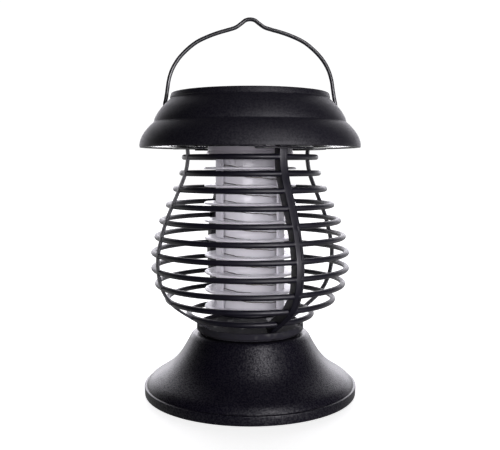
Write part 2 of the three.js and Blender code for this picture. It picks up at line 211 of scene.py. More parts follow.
def tube(name, path, radius, sides):
    """Round wire along a path in mm, its frame carried along without twist, its ends chamfered."""
    taper = 0.5
    tangents = directions(path)
    side = tangents[0].orthogonal().normalized()
    sections = []
    for i, (point, tangent) in enumerate(zip(path, tangents)):
        side = (side - tangent * side.dot(tangent)).normalized()
        across = tangent.cross(side)
        ring = [point + side * u + across * v for u, v in circle(radius, sides)]
        if i in (0, len(path) - 1):
            shift = tangent * (radius * taper) * (1 if i == 0 else -1)
            tip = [point + (p - point) * (1 - taper) for p in ring]
            body = [p + shift for p in ring]
            sections += [tip, body] if i == 0 else [body, tip]
        else:
            sections.append(ring)
    return skin(name, sections)


def block(name, lo, hi, bevel, segments=3):
    """Box with rounded edges between two corners in mm."""
    lo, hi = Vector(lo), Vector(hi)
    bm = bmesh.new()
    place = Matrix.Translation((lo + hi) / 2) @ Matrix.Diagonal((*(hi - lo), 1))
    bmesh.ops.create_cube(bm, size=1, matrix=place)
    bmesh.ops.bevel(bm, geom=bm.edges[:], offset=bevel, segments=segments, profile=0.5,
                    affect="EDGES", clamp_overlap=True)
    bmesh.ops.scale(bm, vec=(MM, MM, MM), verts=bm.verts)
    return linked(name, bpy.data.meshes.new(name), bm)


def moved(piece, offset=(0, 0, 0), azimuth=0.0):
    """Turns a piece about Z, then moves it, in its mesh: objects stay at the origin."""
    turn = Matrix.Rotation(radians(azimuth), 4, "Z")
    piece.data.transform(Matrix.Translation(Vector(offset) * MM) @ turn)
    return piece


def combine(piece, tools, operation="DIFFERENCE"):
    """Boolean of a piece with a list of tools, which are used up."""
    for tool in tools:
        modifier = piece.modifiers.new(operation.lower(), "BOOLEAN")
        modifier.object = tool
        modifier.operation = operation
        modifier.solver = "MANIFOLD"
    bpy.context.view_layer.update()
    result = piece.evaluated_get(bpy.context.evaluated_depsgraph_get())
    mesh = bpy.data.meshes.new_from_object(result)
    piece.modifiers.clear()
    piece.data = mesh
    for tool in tools:
        bpy.data.objects.remove(tool)
    return smooth(piece)


# ---------------------------------------------------------------- materials
def add_node(tree, kind, inputs=None, **settings):
    """Node with its settings made and its inputs set, or linked where the value is a socket."""
    node = tree.nodes.new(kind)
    for key, value in settings.items():
        setattr(node, key, value)
    for socket, value in (inputs or {}).items():
        if isinstance(value, bpy.types.NodeSocket):
            tree.links.new(value, node.inputs[socket])
        else:
            node.inputs[socket].default_value = value
    return node


def times(colour, factor):
    """Brighter or darker version of an (r, g, b) colour."""
    return tuple(channel * factor for channel in colour)


class Finish:
    """A Principled material under construction; textures are laid in the object's own space."""

    def __init__(self, name, colour, roughness, metallic=0.0, **sockets):
        self.material = bpy.data.materials.new(name)
        self.material.use_nodes = True
        self.tree = self.material.node_tree
        self.surface = self.tree.nodes["Principled BSDF"]
        self.place = self.node("ShaderNodeTexCoord").outputs["Object"]
        self.surface.inputs["Base Color"].default_value = (*colour, 1)
        self.surface.inputs["Roughness"].default_value = roughness
        self.surface.inputs["Metallic"].default_value = metallic
        for socket, value in sockets.items():
            self.surface.inputs[socket.replace("_", " ")].default_value = value
        self.height = None

    def node(self, kind, inputs=None, **settings):
        return add_node(self.tree, kind, inputs, **settings)

    def axes(self):
        """The x, y and z of a point in the object's own space, in metres."""
        return self.node("ShaderNodeSeparateXYZ", {0: self.place}).outputs

    def noise(self, size, detail=3.0, squeeze=None):
        """Noise whose features are about size mm; squeeze is its scale per axis."""
        where = self.place
        if squeeze:
            where = self.node("ShaderNodeMapping", {"Vector": where, "Scale": squeeze}).outputs[0]
        inputs = {"Vector": where, "Scale": 1 / (size * MM), "Detail": detail}
        return self.node("ShaderNodeTexNoise", inputs).outputs["Fac"]

    def cells(self, size, feature="SMOOTH_F1", output="Distance"):
        """Cells of about size mm, rounded unless another feature is asked for."""
        inputs = {"Vector": self.place, "Scale": 1 / (size * MM)}
        return self.node("ShaderNodeTexVoronoi", inputs, feature=feature).outputs[output]

    def math(self, operation, *values):
        """Result of a maths node on values or sockets."""
        return self.node("ShaderNodeMath", dict(enumerate(values)), operation=operation).outputs[0]

    def remap(self, value, low_in, high_in, low_out, high_out):
        """Value carried linearly from one range to another, and held at its ends."""
        inputs = {"Value": value, "From Min": low_in, "From Max": high_in,
                  "To Min": low_out, "To Max": high_out}
        return self.node("ShaderNodeMapRange", inputs).outputs["Result"]

    def mix(self, factor, first, second):
        """Colour between two colours, each an (r, g, b) or a socket."""
        node = self.node("ShaderNodeMix", data_type="RGBA")
        pairs = zip((node.inputs[0], node.inputs[6], node.inputs[7]), (factor, first, second))
        for socket, value in pairs:
            if isinstance(value, bpy.types.NodeSocket):
                self.tree.links.new(value, socket)
            else:
                socket.default_value = (*value, 1) if isinstance(value, tuple) else value
        return node.outputs[2]

    def drive(self, socket, value):
        """Links a value to a socket of the surface shader."""
        self.tree.links.new(value, self.surface.inputs[socket])
        return self

    def mottle(self, size, colour, other):
        """Base colour that drifts between two colours in patches of about size mm."""
        return self.drive("Base Color", self.mix(self.noise(size), colour, other))

    def scuff(self, size, smoothest, roughest):
        """Roughness that drifts between two values in patches of about size mm."""
        return self.drive("Roughness", self.remap(self.noise(size), 0.3, 0.7, smoothest, roughest))

    def bump(self, height, depth):
        """Adds relief of depth mm; calls stack up."""
        inputs = {"Height": height, "Distance": depth * MM, "Strength": 1.0}
        if self.height:
            inputs["Normal"] = self.height
        self.height = self.node("ShaderNodeBump", inputs).outputs["Normal"]
        return self.drive("Normal", self.height)


def grained_plastic(name, colour, roughness, grain, depth, speckle):
    """Black moulded plastic with a fine leather grain, faint clouding and greyed edges.

    grain and depth are the size and the height of its pebbles in mm; speckle is how much more
    their tops shine than the hollows between them.
    """
    shine = 0.42         # specular level halfway up a pebble
    f = Finish(name, colour, roughness)
    clouds = f.noise(14)
    pebbles = f.remap(f.noise(grain, 1), 0.35, 0.65, 0, 1)
    fine = f.noise(grain * 0.4, 2)
    f.drive("Specular IOR Level", f.remap(pebbles, 0, 1, shine - speckle, shine + speckle))
    # Paler on sharp convex edges, in patches.
    edge = f.node("ShaderNodeNewGeometry").outputs["Pointiness"]
    paler_edges = f.math("MULTIPLY", f.remap(edge, 0.54, 0.64, 0, 0.5), f.noise(3))
    clouded = f.mix(clouds, colour, times(colour, 1.4))
    f.drive("Base Color", f.mix(paler_edges, clouded, times(colour, 3)))
    uneven = f.math("ADD", clouds, pebbles)
    f.drive("Roughness", f.remap(uneven, 0.4, 1.6, roughness - 0.05, roughness + 0.07))
    f.bump(pebbles, depth)
    return f.bump(fine, depth * 0.3).material


def smooth_plastic(name, colour, roughness):
    """Glossier moulded plastic: faint flow ripples instead of a grain."""
    f = Finish(name, colour, roughness)
    f.mottle(9, colour, times(colour, 1.7)).scuff(2.2, roughness - 0.05, roughness + 0.07)
    return f.bump(f.noise(3.5, 2), 0.05).material


def tray_plastic(name, colour, roughness, floor_r):
    """Black plastic, glossy on the collar, dull with dust inside floor_r mm except for streaks."""
    dusty_roughness = 0.95
    f = Finish(name, colour, roughness)
    x, y, _ = f.axes()
    from_axis = f.math("SQRT", f.math("ADD", f.math("MULTIPLY", x, x), f.math("MULTIPLY", y, y)))
    collar = f.remap(from_axis, (floor_r - 1.5) * MM, floor_r * MM, 0, 1)
    streaks = f.remap(f.noise(5, 1, squeeze=(1, 0.3, 1)), 0.56, 0.68, 0, 0.6)
    clean = f.math("MAXIMUM", collar, streaks)
    f.drive("Roughness", f.remap(clean, 0, 1, dusty_roughness, roughness))
    f.drive("Base Color", f.mix(clean, times(colour, 3), colour))
    return f.bump(f.noise(3.5, 2), 0.08).material


def frosted_plastic(name, colour, roughness):
    """Milky translucent plastic with faint clouding and a fine satin surface."""
    f = Finish(name, colour, roughness, Subsurface_Weight=0.12, Subsurface_Scale=2 * MM,
               Subsurface_Radius=(1.0, 0.95, 1.0))
    f.mottle(6, times(colour, 0.93), colour).scuff(1.2, roughness - 0.06, roughness + 0.06)
    f.bump(f.noise(7, 1, squeeze=(1, 1, 0.15)), 0.12)
    return f.bump(f.noise(0.3, 2), 0.006).material


def metal(name, colour, roughness):
    """Bare metal, spotted with dull oxide."""
    f = Finish(name, colour, roughness, metallic=1.0)
    spots = f.remap(f.noise(1.6, 4), 0.45, 0.7, 0, 1)
    f.drive("Base Color", f.mix(spots, colour, times(colour, 0.6)))
    f.drive("Roughness", f.remap(spots, 0, 1, roughness, roughness + 0.25))
    return f.bump(f.noise(0.25, 2), 0.01).material


def soft_rubber(name, colour):
    """Matt rubber with a fine pebbled skin."""
    f = Finish(name, colour, 0.8)
    f.mottle(2.5, colour, times(colour, 1.8)).scuff(1, 0.7, 0.9)
    return f.bump(f.cells(0.5), 0.04).material


def painted_wire(name, colour):
    """Wire with a glossy coat of paint that is slightly uneven."""
    f = Finish(name, colour, 0.34, Specular_IOR_Level=1.0)
    f.mottle(4, colour, times(colour, 1.8)).scuff(3, 0.3, 0.4)
    return f.bump(f.noise(4, 1), 0.01).material


def solar_cell(name):
    """Polycrystalline cells under clear resin: blue flakes, silver fingers, gaps between strips."""
    strip_pitch, finger_pitch = 9.6, 1.3
    gap, busbar, finger = 0.5, 0.7, 0.13
    f = Finish(name, (0.012, 0.025, 0.09), 0.3, Coat_Weight=1.0, Coat_Roughness=0.06)
    flakes = f.cells(2.4, "F1", "Color")
    blue = f.mix(flakes, (0.008, 0.016, 0.07), (0.03, 0.06, 0.2))
    x, y, _ = f.axes()

    def line(coordinate, pitch, width):
        across = f.math("PINGPONG", coordinate, pitch * MM / 2)
        return f.math("LESS_THAN", across, width * MM / 2)

    half_a_strip_on = f.math("ADD", x, strip_pitch * MM / 2)
    fingers = f.mix(line(y, finger_pitch, finger), blue, (0.3, 0.33, 0.4))
    strips = f.mix(line(half_a_strip_on, strip_pitch, gap), fingers, (0.01, 0.01, 0.012))
    f.drive("Base Color", f.mix(line(x, strip_pitch, busbar), strips, (0.55, 0.57, 0.6)))
    return f.bump(f.noise(8, 1), 0.05).material


def circuit_laminate(name):
    """Green solder mask over copper tracks."""
    mask, over_track = (0.01, 0.09, 0.03), (0.015, 0.14, 0.05)
    f = Finish(name, mask, 0.35, Coat_Weight=0.4, Coat_Roughness=0.2)
    tracks = f.math("PINGPONG", f.cells(4.5, "F1"), 0.12)
    f.drive("Base Color", f.mix(f.remap(tracks, 0.05, 0.07, 0, 1), over_track, mask))
    return f.bump(tracks, 0.2).material


def printed_sleeve(name, colour):
    """Shrink sleeve: glossy film with a few tension ripples and a paler band at one end."""
    band_x, band_colour = 18, (0.6, 0.6, 0.55)
    f = Finish(name, colour, 0.28)
    x, _, _ = f.axes()
    band = f.remap(x, band_x * MM, (band_x + 0.2) * MM, 0, 1)
    f.drive("Base Color", f.mix(band, colour, band_colour))
    return f.bump(f.noise(5, 2, squeeze=(0.3, 1, 1)), 0.15).material


def wound_tape(name, colour):
    """Varnished winding under tape: fine horizontal wraps."""
    wrap = 0.25
    f = Finish(name, colour, 0.4)
    _, _, z = f.axes()
    shade = f.remap(f.math("PINGPONG", z, wrap * MM), 0, wrap * MM, 0, 1)
    f.drive("Base Color", f.mix(shade, times(colour, 0.5), colour))
    return f.bump(shade, 0.1).material


BLACK = (0.0034, 0.0029, 0.0062)
HAT_PLASTIC = grained_plastic("hat_plastic", BLACK, 0.54, grain=0.85, depth=0.025, speckle=0.13)
STAND_PLASTIC = grained_plastic("stand_plastic", BLACK, 0.36, grain=0.9, depth=0.04, speckle=0.25)
CAGE_PLASTIC = smooth_plastic("cage_plastic", (0.0038, 0.0033, 0.0075), 0.44)
UNDERSIDE_PLASTIC = smooth_plastic("underside_plastic", (0.02, 0.02, 0.024), 0.12)
TRAY_PLASTIC = tray_plastic("tray_plastic", (0.0045, 0.0042, 0.0065), 0.3, floor_r=34)
CORE_PLASTIC = frosted_plastic("core_plastic", (0.80, 0.79, 0.83), 0.32)
# The cap is the core's frosted plastic coloured darker: painted shade from the hat above it.
SHADED_CAP_PLASTIC = frosted_plastic("cap_plastic_painted_shade", (0.55, 0.52, 0.57), 0.36)
DIFFUSER_PLASTIC = frosted_plastic("diffuser_plastic", (0.84, 0.83, 0.86), 0.22)
GRID_METAL = metal("grid_metal", (0.2, 0.18, 0.16), 0.4)
SCREW_STEEL = metal("screw_steel", (0.55, 0.56, 0.58), 0.3)
RUBBER = soft_rubber("rubber", (0.012, 0.012, 0.013))
BAIL_COAT = painted_wire("bail_coat", (0.009, 0.009, 0.01))
SOLAR_CELL = solar_cell("solar_cell")
LAMINATE = circuit_laminate("circuit_laminate")
BATTERY_SLEEVE = printed_sleeve("battery_sleeve", (0.02, 0.22, 0.11))
CAPACITOR_SLEEVE = printed_sleeve("capacitor_sleeve", (0.03, 0.05, 0.16))
COIL_TAPE = wound_tape("coil_tape", (0.32, 0.2, 0.05))
LAMP_WHITE = smooth_plastic("lamp_white", (0.5, 0.5, 0.48), 0.4)


def finished(piece, material, body, slot, *replaced):
    """Gives a piece its material and body, and hides the CAD nodes that it stands for; slot is not used.
    """
    piece.data.materials.clear()
    piece.data.materials.append(material)
    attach(piece, body)
    if replaced:
        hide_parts(*replaced)
    return piece


# ---------------------------------------------------------------- stand
STAND_SCREWS = (0, 120, 240)             # azimuths in degrees
FOUR_CORNERS = (45, 135, 225, 315)       # azimuths of the feet and of the hat's screws
HEAD_HOLE_R, SHANK_HOLE_R = 3.4, 1.6     # round a screw's head and round its shank
POST_R, POST_BORE_R = 3, 1.3


def screw_post(z0, z1, radius, azimuth):
    """Hollow post that a screw bites into."""
    wall = rounded([(POST_BORE_R, z0), (POST_R, z0), (POST_R, z1), (POST_BORE_R, z1)])
    return moved(turned("post", wall, 32), polar(radius, azimuth))


def screw_hole(z0, head_z, shank_z, z1, radius, azimuth):
    """Tool for a countersunk hole: wide up to head_z, narrow from shank_z on."""
    bore = rounded([(0, z0), (HEAD_HOLE_R, z0), (HEAD_HOLE_R, head_z), (SHANK_HOLE_R, shank_z),
                    (SHANK_HOLE_R, z1), (0, z1)])
    return moved(turned("bore", bore, 32), polar(radius, azimuth))


def stand_bell():
    """Flared bell: rounded shoulder by the lip, concave flank, flat top with the tray's socket."""
    seat_r, wall_foot_r, neck_z = 61.7, 59.4, 35.7
    socket_floor, socket_under, hub_r, hollow_r, ceiling_z = 29.0, 27.0, 26.4, 32.8, 35.2
    foot_z = low("stand_shell").z
    top_z = high("stand_shell").z
    socket_r = high("catch_tray").x - 8.2
    flank = spline([(62.75, 6.55), (62.55, 6.95), (62.0, 7.9), (60.0, 10.1), (56.3, 12.6),
                    (52.4, 15.1), (48.5, 18.0), (45.3, 21.1), (42.2, 25.0), (39.7, 29.0),
                    (37.4, 33.0), (36.0, neck_z)], 6)
    inner = spline([(34.6, 33.0), (38.3, 26.6), (42.2, 21.2), (46.2, 17.0), (53.4, 11.8),
                    (58.6, 7.8), (wall_foot_r, 6.2)], 5)
    outline = vectors((wall_foot_r, foot_z), (seat_r, foot_z), (seat_r, 6.5)) + flank
    outline += rounded([(36.0, neck_z), (34.3, top_z, 1.5), (socket_r, top_z, 0.4),
                        (socket_r, socket_floor)])[1:]
    outline += vectors((0, socket_floor), (0, socket_under), (hub_r, socket_under),
                       (hub_r, ceiling_z), (hollow_r, ceiling_z)) + inner
    bell = turned("stand_bell", outline)
    screw_r = middle("stand_screw_1").xy.length
    combine(bell, [screw_post(3.2, 20, screw_r, azimuth) for azimuth in STAND_SCREWS], "UNION")
    return finished(bell, STAND_PLASTIC, "stand", "black_plastic", "stand_shell")


def stand_plate():
    """Bottom plate with an upstanding rounded lip, foot recesses and countersunk screw holes."""
    lip_r, lip_z = high("stand_cover").x, high("stand_cover").z
    lip_inner_r, foot_recess_r, groove_width = 62.0, 5.9, 0.8
    base_z = low("stand_cover").z
    floor_z = base_z + 1.8
    below = -1           # where the cutting tools start, under the plate
    plate = turned("stand_plate", rounded([
        (0, base_z), (lip_r - 0.2, base_z, 0.7), (lip_r, lip_z, 0.4), (lip_inner_r, lip_z),
        (lip_inner_r, floor_z, 0.4), (0, floor_z)]))
    screw_r = middle("stand_screw_1").xy.length
    foot_r = middle("rubber_foot_1").xy.length
    tools = [screw_hole(below, base_z + 0.9, base_z + 1.3, 5, screw_r, azimuth)
             for azimuth in STAND_SCREWS]
    tools += [moved(rod("recess", foot_recess_r, below, base_z + 0.5), polar(foot_r, azimuth))
              for azimuth in FOUR_CORNERS]
    for r in (16, 30):
        groove = vectors((r, below), (r + groove_width, below), (r + groove_width, base_z + 0.35),
                         (r, base_z + 0.35))
        tools.append(turned("groove", groove, 96))
    combine(plate, tools)
    return finished(plate, STAND_PLASTIC, "stand", "black_plastic", "stand_cover")


def screw(node, body):
    """Pan-head screw with a cross recess, its head down, in place of a CAD screw."""
    centre, head_z, tip_z = middle(node), low(node).z, high(node).z
    head_r = (high(node).x - low(node).x) / 2
    root_r, crest_r, pitch = 1.1, 1.4, 0.9
    shank = rounded([(0, head_z), (head_r * 0.72, head_z, 1.2), (head_r, head_z + 0.9, 0.35),
                     (head_r, head_z + 1.0), (root_r, head_z + 1.0)])
    z = head_z + 1.6
    while z < tip_z - 1.6:
        shank += vectors((root_r, z), (crest_r, z + pitch * 0.25), (root_r, z + pitch * 0.5))
        z += pitch
    shank += vectors((1.0, tip_z - 1.2), (0, tip_z))
    piece = turned(f"{node}_pan_head", shank, SMALL_ROUND)
    long, thin, recess_depth = 1.5, 0.32, 0.75
    arms = [block("arm", (-x, -y, head_z - 1), (x, y, head_z + recess_depth), 0.12)
            for x, y in ((long, thin), (thin, long))]
    combine(piece, arms)
    moved(piece, (centre.x, centre.y, 0))
    return finished(piece, SCREW_STEEL, body, "screw_steel", node)


def foot_pad(node):
    """Rubber foot: a flat pad with a groove and a raised rim round its underside."""
    centre, pad_r, top_z = middle(node), (high(node).x - low(node).x) / 2, high(node).z
    outline = rounded([(0, 0), (pad_r - 1.4, 0, 0.3), (pad_r - 1.2, 0.25), (pad_r - 0.7, 0.05, 0.2),
                       (pad_r, 0.3, 0.25), (pad_r, top_z), (0, top_z)])
    pad = moved(turned(f"{node}_pad", outline, SMALL_ROUND), (centre.x, centre.y, 0))
    return finished(pad, RUBBER, "stand", "rubber", node)


# ---------------------------------------------------------------- cage
def catch_tray():
    """Shallow dish with a glossy rolled collar, and the spigot that plugs into the stand."""
    collar_r, top_z, foot_z = high("catch_tray").x, high("catch_tray").z, low("catch_tray").z
    spigot_inner_r, spigot_r, under_z, dish_under_z = 21.9, 23.7, 38.1, 39.9
    outline = rounded([
        (0, dish_under_z), (spigot_inner_r, dish_under_z, 0.5), (spigot_inner_r, foot_z),
        (spigot_r, foot_z, 0.5), (spigot_r, under_z, 0.4), (collar_r - 1.5, under_z, 0.3),
        (collar_r - 0.7, 39.2, 0.5), (collar_r, 39.7, 0.4), (collar_r, top_z, 0.7),
        (collar_r - 1.7, top_z, 0.6), (collar_r - 2.0, 41.4, 0.8), (8, 41.2, 2), (0, 41.5)])
    tray = turned("tray_dish", outline)
    return finished(tray, TRAY_PLASTIC, "cage", "cage_plastic", "catch_tray")


RING_NODES = [f"cage_ring_{i:02d}" for i in range(1, 12)]
RIB_NODES = [f"cage_rib_{i}" for i in range(1, 5)]
RIB_AZIMUTHS = (27, 117, 207, 297)
RING_WIRE_R = 1.6


def cage_line():
    """Vase line that the rings and ribs are centred on, from the tray up to the hat, as (r, z)."""
    rings = [(high(n).x - RING_WIRE_R, middle(n).z) for n in RING_NODES]
    foot = [(26.6, 42.6), (30.8, 45.2)]
    top = [(rings[0][0] + 0.5, high("cage_rib_1").z)]
    return spline(foot + rings[::-1] + top, 5)


def rib_bar(line, azimuth, width, inward, groove_z):
    """Rib of rounded-rectangle section; below groove_z the cage's joint line runs down its face.

    Its top is cut back to a thin lip, which clears the ring under the hat.
    """
    lip_z, lip_inward = 148.2, 0.5
    groove_at, groove_half, groove_depth, groove_fade = 0.75, 0.28, 0.55, 6
    half, outward = width / 2, RING_WIRE_R
    sections = []
    for point, tangent in zip(line, directions(line)):
        normal = Vector((tangent.y, -tangent.x))
        depth = groove_depth * min(1, max(0, (groove_z - point.y) / groove_fade))
        lower_face = outward - depth * 0.4
        reach = inward if point.y < lip_z else min(inward, lip_inward)
        corners = [(-half, -reach, 0.5), (half, -reach, 0.5), (half, lower_face, 0.6),
                   (groove_at + groove_half, lower_face), (groove_at, outward - depth - 0.02),
                   (groove_at - groove_half, outward), (-half, outward, 0.6)]
        section = []
        for u, v in rounded(corners, 4):
            radius, z = point + normal * v
            section.append(Vector((radius, u, z)))
        sections.append(section)
    return moved(skin("rib", sections), azimuth=azimuth - 90)


def bayonet_tab(azimuth):
    """Flat ledge along the top of the cage, 46 degrees long, that the hat turns over."""
    z0, z1, inner_r, outer_r, half_angle = 147.6, 148.5, 38.6, 46, 23
    section = rounded([(inner_r, z0, 0.3), (outer_r, z0, 0.3), (outer_r, z1, 0.3),
                       (inner_r, z1, 0.3)], 3)
    return skin("tab", [[polar(r, azimuth + half_angle * step / 12, z) for r, z in section]
                        for step in range(-12, 13)])


def cage_moulding():
    """The whole cage is one moulding: round rings, four ribs and the bayonet tabs at their tops."""
    line = cage_line()
    wide, narrow = (5.2, 4.6, 106.0), (3.4, -0.2, 0.0)      # width, inward reach, top of the groove
    parts = []
    for i, node in enumerate(RING_NODES):
        radius, z = high(node).x - RING_WIRE_R, middle(node).z
        section = [Vector((radius, z)) + p for p in circle(RING_WIRE_R, 20)]
        parts.append(turned(f"ring_{i}", section, 192))
    for i, azimuth in enumerate(RIB_AZIMUTHS):
        parts.append(rib_bar(line, azimuth, *(wide, narrow)[i % 2]))
    parts += [bayonet_tab(azimuth) for azimuth in RIB_AZIMUTHS]
    cage = combine(parts[0], parts[1:], "UNION")
    cage.name = "cage_moulding"
    return finished(cage, CAGE_PLASTIC, "cage", "cage_plastic", *RING_NODES, *RIB_NODES)


# ---------------------------------------------------------------- hat
PIVOT_Z = 172.0      # height of the bail's pivots


def hat_shell():
    """Two-tier dome: a domed brim, a crease, a smaller dome and an upright rim round the panel."""
    brim_r, brim_z, rim_top = high("hat_shell").x, low("hat_shell").z, high("hat_shell").z
    lower = spline([(brim_r, 150.4), (65.1, 152.7), (64.15, 155.0), (62.7, 157.5), (60.9, 159.8),
                    (58.9, 161.9), (57.6, 163.0), (57.05, 163.6), (56.9, 164.3)], 5)
    upper = spline([(56.75, 165.0), (56.3, 166.2), (55.1, 168.4), (52.9, 171.5), (50.5, 174.1),
                    (48.3, 176.2), (47.5, 176.9)], 5)
    outline = vectors((brim_r - 0.4, brim_z), (brim_r - 0.1, brim_z + 0.25)) + lower + upper
    outline += rounded([(47.15, 177.35, 0.3), (47.4, 178.0, 0.3), (46.7, rim_top, 0.9),
                        (44.6, rim_top, 0.5), (44.6, 177.4, 0.3), (41.5, 177.4), (41.5, 175.4),
                        (47.2, 175.2, 1.0)])
    outline += spline([(50.2, 172.3), (54.0, 167.0), (54.9, 163.4), (59.2, 158.9), (63.1, 152.0)], 4)
    outline += vectors((63.3, brim_z + 0.2), (63.6, brim_z))
    shell = turned("hat_dome", outline, 192)
    screw_r = middle("hat_screw_1").xy.length
    combine(shell, [screw_post(152.7, 170.0, screw_r, azimuth) for azimuth in FOUR_CORNERS], "UNION")
    slot_inner_x, slot_outer_x, slot_half_width = 47.8, 53.2, 11
    slots = [block("slot", (x0, -slot_half_width, 160), (x1, slot_half_width, 190), 0.8)
             for x0, x1 in ((slot_inner_x, slot_outer_x), (-slot_outer_x, -slot_inner_x))]
    combine(shell, slots)
    return finished(shell, HAT_PLASTIC, "head", "black_plastic", "hat_shell")


def hat_underside():
    """Plate that closes the hat from below, with the ring that the cage's tabs turn against."""
    plate_z, plate_top, plate_r = 150.5, high("hat_floor").z, high("hat_floor").x
    step_r, step_z, wire_hole_r, button_hole_r = 48.5, 149.3, 5, 3.7
    ring_inner_r, ring_r, ring_z = 36.2, 37.6, 148.9
    plate = turned("hat_underside", rounded([
        (wire_hole_r, plate_z, 0.3), (ring_inner_r, plate_z), (ring_inner_r, ring_z, 0.3),
        (ring_r, ring_z, 0.3), (ring_r, plate_z), (step_r, plate_z), (step_r, step_z, 0.5),
        (plate_r, step_z, 0.3), (plate_r, plate_top, 0.3), (wire_hole_r, plate_top, 0.3)]))
    screw_r = middle("hat_screw_1").xy.length
    tools = [screw_hole(140, 151.5, 151.8, 160, screw_r, azimuth) for azimuth in FOUR_CORNERS]
    button = middle("power_button")
    tools.append(moved(rod("hole", button_hole_r, 140, 160), (button.x, button.y, 0)))
    combine(plate, tools)
    return finished(plate, UNDERSIDE_PLASTIC, "head", "black_plastic", "hat_floor")


def panel_surround():
    """Disc in the top recess with a raised frame and a pocket for the square solar panel."""
    disc_r, base_z, top_z = high("panel_bezel").x, low("panel_bezel").z, high("panel_bezel").z
    disc = turned("panel_surround", rounded([
        (0, base_z), (disc_r, base_z, 0.3), (disc_r, top_z, 0.5), (disc_r - 1.6, top_z, 0.4),
        (disc_r - 2.2, top_z - 0.5, 0.4), (0, top_z - 0.5)]))
    frame_half = high("solar_panel").x + 1.6
    pocket_half = high("solar_panel").x + 0.2
    rim = block("rim", (-frame_half, -frame_half, top_z - 1), (frame_half, frame_half, top_z + 0.1), 0.4)
    combine(disc, [rim], "UNION")
    pocket = block("pocket", (-pocket_half, -pocket_half, base_z + 1.1),
                   (pocket_half, pocket_half, 190), 0.2)
    combine(disc, [pocket])
    return finished(disc, CAGE_PLASTIC, "head", "black_plastic", "panel_bezel")


def solar_panel():
    """Resin-covered cell: a thin block with rounded edges, the clear resin being the coat of its
    material.
    """
    lo, hi = low("solar_panel"), high("solar_panel")
    panel = block("solar_wafer", lo, hi, 0.45, 4)
    return finished(panel, SOLAR_CELL, "head", "solar_cell", "solar_panel")


def bail_lug(node):
    """Block inside the hat, with rounded edges and the bore that the bail's end turns in."""
    lug = block(f"{node}_block", low(node), high(node), 0.5)
    bore = rod("bore", 1.5, -60, 60, 32)
    bore.data.transform(Matrix.Translation((0, 0, PIVOT_Z * MM)) @ Matrix.Rotation(pi / 2, 4, "Y"))
    combine(lug, [bore])
    return finished(lug, CAGE_PLASTIC, "head", "black_plastic", node)


def push_button():
    """Rubber button under the hat, with a dished face and a sealing skirt."""
    centre, foot_z, top_z = middle("power_button"), low("power_button").z, high("power_button").z
    face_r, skirt_r, skirt_z, skirt_top, stem_r = 3.3, 4.6, 152.6, 153.7, 1.6
    outline = rounded([
        (0, foot_z + 0.35), (1.6, foot_z + 0.1, 0.8), (2.7, foot_z, 0.4), (face_r, foot_z + 0.6, 0.4),
        (face_r, skirt_z), (skirt_r, skirt_z, 0.2), (skirt_r, skirt_top, 0.2), (stem_r, skirt_top),
        (stem_r, top_z, 0.3), (0, top_z)])
    button = moved(turned("push_button", outline, SMALL_ROUND), (centre.x, centre.y, 0))
    return finished(button, RUBBER, "button", "rubber", "power_button")


# ---------------------------------------------------------------- electric core
FLANGE_NODES = [f"core_flange_{i}" for i in range(1, 10)]


def core_moulding():
    """Three pillars and nine thin flanges in one frosted moulding, with wire holes in the flanges."""
    flange_r = high("core_flange_1").x
    inner_r, pillar_r, pillar_half_angle = 20.2, 21.6, 10
    wire_hole_r, wire_hole_at, wire_hole_azimuths = 0.75, 23.4, (-68, 112)
    foot_z, top_z = low("core_frame").z, high("core_frame").z
    parts = []
    for node in FLANGE_NODES:
        z0, z1 = low(node).z, high(node).z
        outline = rounded([(inner_r, z0, 0.3), (flange_r, z0 + 0.15, 0.65),
                           (flange_r, z1 - 0.15, 0.65), (inner_r, z1, 0.3)], 4)
        parts.append(turned(node + "_disc", outline, 128))
    for azimuth in (60, 180, 300):
        spread = [pillar_half_angle * k / 6 for k in range(-6, 7)]
        parts.append(skin("pillar", [[polar(pillar_r, azimuth + a, z) for a in spread]
                                     + [polar(inner_r, azimuth - a, z) for a in spread]
                                     for z in (foot_z, top_z)]))
    core = combine(parts[0], parts[1:], "UNION")
    core.name = "core_moulding"
    holes = []
    for node in FLANGE_NODES:
        z = middle(node).z
        holes += [moved(rod("hole", wire_hole_r, z - 1.5, z + 1.5, 16), polar(wire_hole_at, azimuth))
                  for azimuth in wire_hole_azimuths]
    combine(core, holes)
    return finished(core, CORE_PLASTIC, "head", "frosted_plastic", "core_frame", *FLANGE_NODES)


def lamp_diffuser():
    """Translucent tube inside the core, round the row of lamps."""
    wall = 1.4
    outer, inner = high("diffuser_tube").x, high("diffuser_tube").x - wall
    z0, z1 = low("diffuser_tube").z, high("diffuser_tube").z
    tube_wall = turned("lamp_diffuser", rounded(
        [(inner, z0, 0.3), (outer, z0, 0.3), (outer, z1, 0.3), (inner, z1, 0.3)]), 128)
    return finished(tube_wall, DIFFUSER_PLASTIC, "head", "white_plastic", "diffuser_tube")


def grid_wire(node, name, phase):
    """Bare wire wound down the core at the flanges' pitch, slightly slack between the pillars."""
    coil_r, wire_r, steps_per_turn = 19.2, 0.24, 60
    z_top, z_foot = high(node).z - 0.4, low(node).z + 0.4
    turns = len(FLANGE_NODES) - 1
    path = []
    for step in range(turns * steps_per_turn + 1):
        turn = step / steps_per_turn
        angle = phase + 2 * pi * turn
        wobble = 0.16 * sin(9 * angle + phase) + 0.1 * sin(23 * angle)
        radius = coil_r + 0.12 * cos(3 * angle)
        z = z_top + (z_foot - z_top) * turn / turns + wobble
        path.append(Vector((radius * cos(angle), radius * sin(angle), z)))
    return finished(tube(name, path, wire_r, 8), GRID_METAL, "head", "grid_wire", node)


